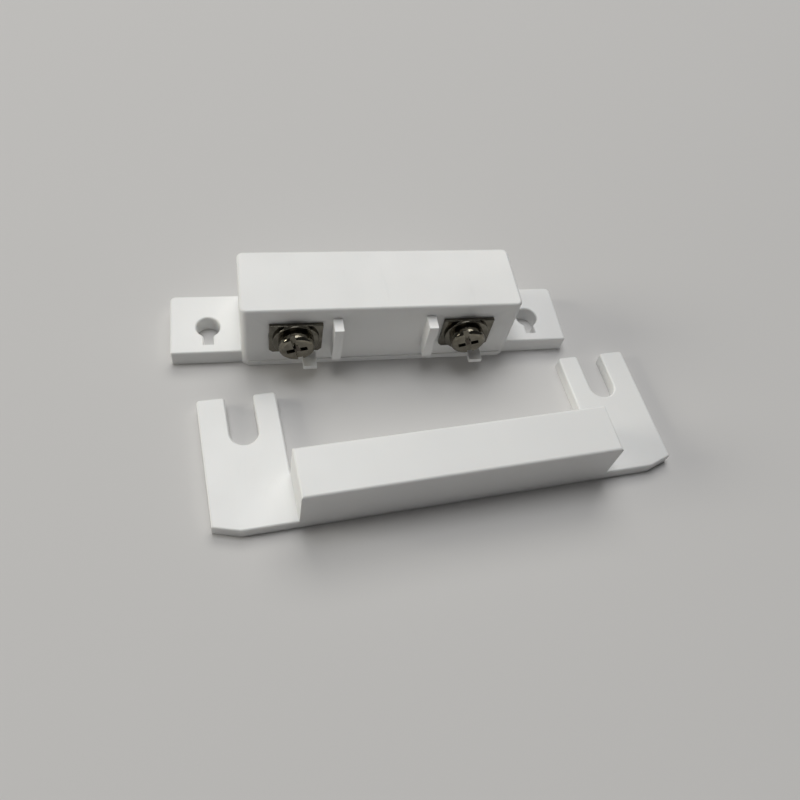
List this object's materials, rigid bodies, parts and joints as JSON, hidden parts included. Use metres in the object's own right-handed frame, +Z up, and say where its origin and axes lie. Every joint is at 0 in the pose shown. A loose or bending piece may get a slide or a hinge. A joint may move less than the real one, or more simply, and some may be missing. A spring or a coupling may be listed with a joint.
{
  "type": "door contact sensor",
  "caption": "White surface-mount door contact: a reed switch housing with screw terminals and keyhole ears, and a low magnet bar with fork-slotted mounting plates.",
  "frame": {"origin": "middle of the switch housing's underside, on the surface it is screwed to", "axes": "+X along the switch, +Y away from the terminals, +Z up off the mounting surface"},
  "size_m": [0.0754, 0.0404, 0.0129],
  "materials": {
    "white_plastic": "satin moulded ABS, faint cool tint in the shade",
    "cover_plastic": "satin moulded ABS",
    "nickel_plate": "nickel-plated steel, bright",
    "screw_metal": "nickel-plated steel, bright",
    "nut_brass": "bright",
    "reed_alloy": "tinned nickel-iron wire",
    "reed_glass": "clear green-tinted glass",
    "solder": "satin solder",
    "cushion_rubber": "soft silicone",
    "magnet_ferrite": "dark sintered ferrite",
    "foam_pad": "foam"
  },
  "bodies": {
    "switch_unit": {"switch_housing": "white_plastic", "switch_base_cover": "cover_plastic", "left_terminal_plate": "nickel_plate", "right_terminal_plate": "nickel_plate", "left_captive_nut": "nut_brass", "right_captive_nut": "nut_brass", "reed_glass_capsule": "reed_glass", "reed_fixed_blade": "reed_alloy", "reed_right_lead": "reed_alloy", "left_solder_joint": "solder", "right_solder_joint": "solder", "left_capsule_cushion": "cushion_rubber", "right_capsule_cushion": "cushion_rubber"},
    "left_clamp": {"left_washer": "nickel_plate"},
    "left_screw": {"left_terminal_screw": "screw_metal"},
    "right_clamp": {"right_washer": "nickel_plate"},
    "right_screw": {"right_terminal_screw": "screw_metal"},
    "reed_armature": {"reed_moving_blade": "reed_alloy"},
    "magnet_unit": {"magnet_housing": "white_plastic", "bar_magnet": "magnet_ferrite", "magnet_pad": "foam_pad", "magnet_base_cover": "cover_plastic"}
  },
  "joints": [
    {"name": "left_clamp_slide", "type": "slide", "parent": "switch_unit", "child": "left_clamp", "axis": [0, -1, 0], "range_m": [0, 0.002]},
    {"name": "left_screw_turn", "type": "hinge", "parent": "left_clamp", "child": "left_screw", "pos_m": [-0.01335, -0.00695, 0.00695], "axis": [0, -1, 0], "range_deg": [0, 1440]},
    {"name": "right_clamp_slide", "type": "slide", "parent": "switch_unit", "child": "right_clamp", "axis": [0, -1, 0], "range_m": [0, 0.002]},
    {"name": "right_screw_turn", "type": "hinge", "parent": "right_clamp", "child": "right_screw", "pos_m": [0.01335, -0.00695, 0.00695], "axis": [0, -1, 0], "range_deg": [0, 1440]},
    {"name": "reed_blade_flex", "type": "hinge", "parent": "switch_unit", "child": "reed_armature", "pos_m": [0.0051, 0.0014, 0.00715], "axis": [0, -1, 0], "range_deg": [0, 1.9], "stiffness_Nm_per_rad": 0.001},
    {"name": "magnet_travel", "type": "slide", "parent": "switch_unit", "child": "magnet_unit", "axis": [0.0809, -0.9967, 0], "range_m": [-0.002, 0.06]}
  ],
  "couplings": [
    {"joint": "left_screw_turn", "follows": "left_clamp_slide", "rad_per_m": 12566},
    {"joint": "right_screw_turn", "follows": "right_clamp_slide", "rad_per_m": 12566}
  ]
}
